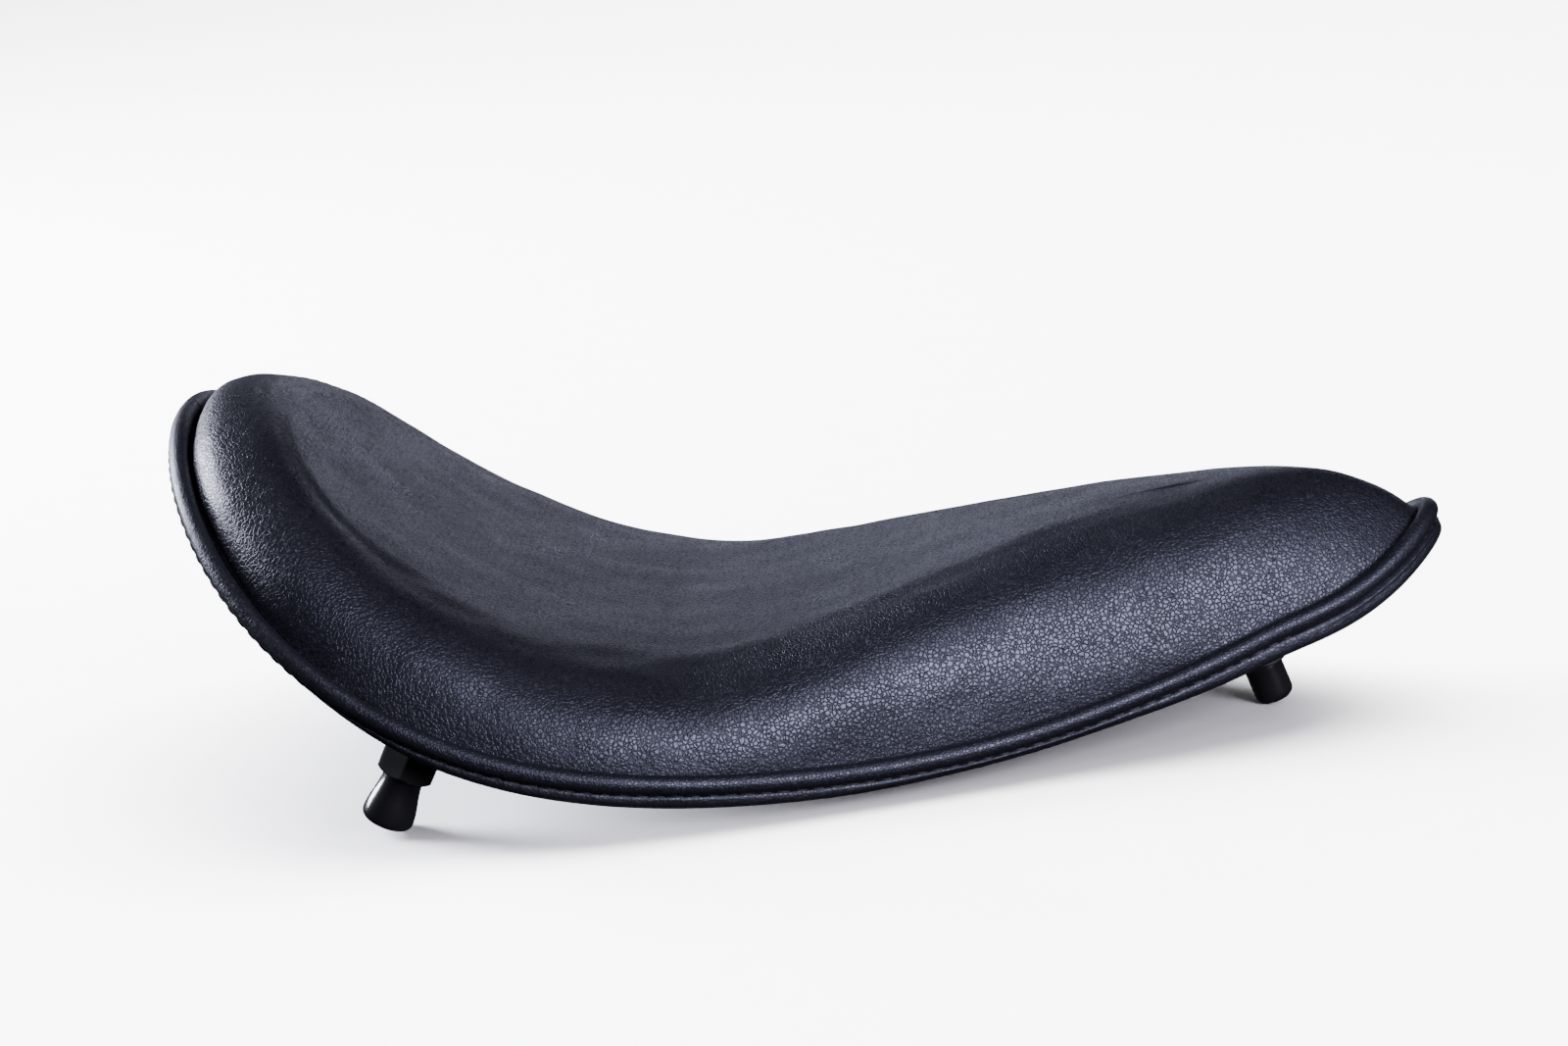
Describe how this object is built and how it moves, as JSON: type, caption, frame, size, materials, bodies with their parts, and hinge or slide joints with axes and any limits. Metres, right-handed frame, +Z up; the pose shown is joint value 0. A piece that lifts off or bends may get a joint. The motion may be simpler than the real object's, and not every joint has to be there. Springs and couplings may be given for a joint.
{
  "type": "motorcycle seat",
  "caption": "Slim solo motorcycle seat: kicked-up rear and narrow nose, black leather over a bent pan with piping, standing on screw-in posts.",
  "frame": {"origin": "centre of the bounding box at the level of the post tips", "axes": "+X to the front of the seat, +Y to its left, +Z up; the XZ plane is the plane of symmetry"},
  "size_m": [0.3948, 0.238, 0.121],
  "materials": {
    "pan_steel": "black powder coat",
    "zinc": "zinc plated",
    "black_zinc": "black zinc",
    "black_oxide": "matte black oxide",
    "gloss_black": "gloss black powder coat",
    "firm_foam": "closed cell foam",
    "soft_foam": "open cell foam",
    "wadding": "polyester wadding",
    "cover_leather": "black pebble grain leather, satin",
    "band_leather": "black pebble grain leather, satin",
    "piping_leather": "black leather, satin",
    "cotton_cord": "twisted cord",
    "thread": "bonded black thread",
    "rivet": "black domed rivet"
  },
  "bodies": {
    "root": {"seat_pan": "pan_steel", "rear_mount_plates": "pan_steel", "front_mount_plate": "pan_steel", "plate_rivets": "zinc", "rear_weld_nuts": "zinc", "front_weld_nut": "zinc", "rear_washers": "black_zinc", "front_washer": "black_zinc", "rear_standoffs": "black_oxide", "front_standoff": "black_oxide", "base_foam": "firm_foam", "cushion_foam": "soft_foam", "wadding": "wadding", "top_cover": "cover_leather", "skirt_cover": "band_leather", "welt_sleeve": "piping_leather", "welt_cord": "cotton_cord", "welt_stitching": "thread", "cover_rivets": "rivet"},
    "rear_left_post": {"rear_left_post": "gloss_black"},
    "rear_right_post": {"rear_right_post": "gloss_black"},
    "front_post": {"front_post": "gloss_black"}
  },
  "joints": [
    {"name": "rear_left_height", "type": "slide", "parent": "root", "child": "rear_left_post", "axis": [-0.4352, 0, -0.9003], "range_m": [0, 0.004]},
    {"name": "rear_right_height", "type": "slide", "parent": "root", "child": "rear_right_post", "axis": [-0.4352, 0, -0.9003], "range_m": [0, 0.004]},
    {"name": "front_height", "type": "slide", "parent": "root", "child": "front_post", "axis": [0.3354, 0, -0.9421], "range_m": [0, 0.004]}
  ]
}
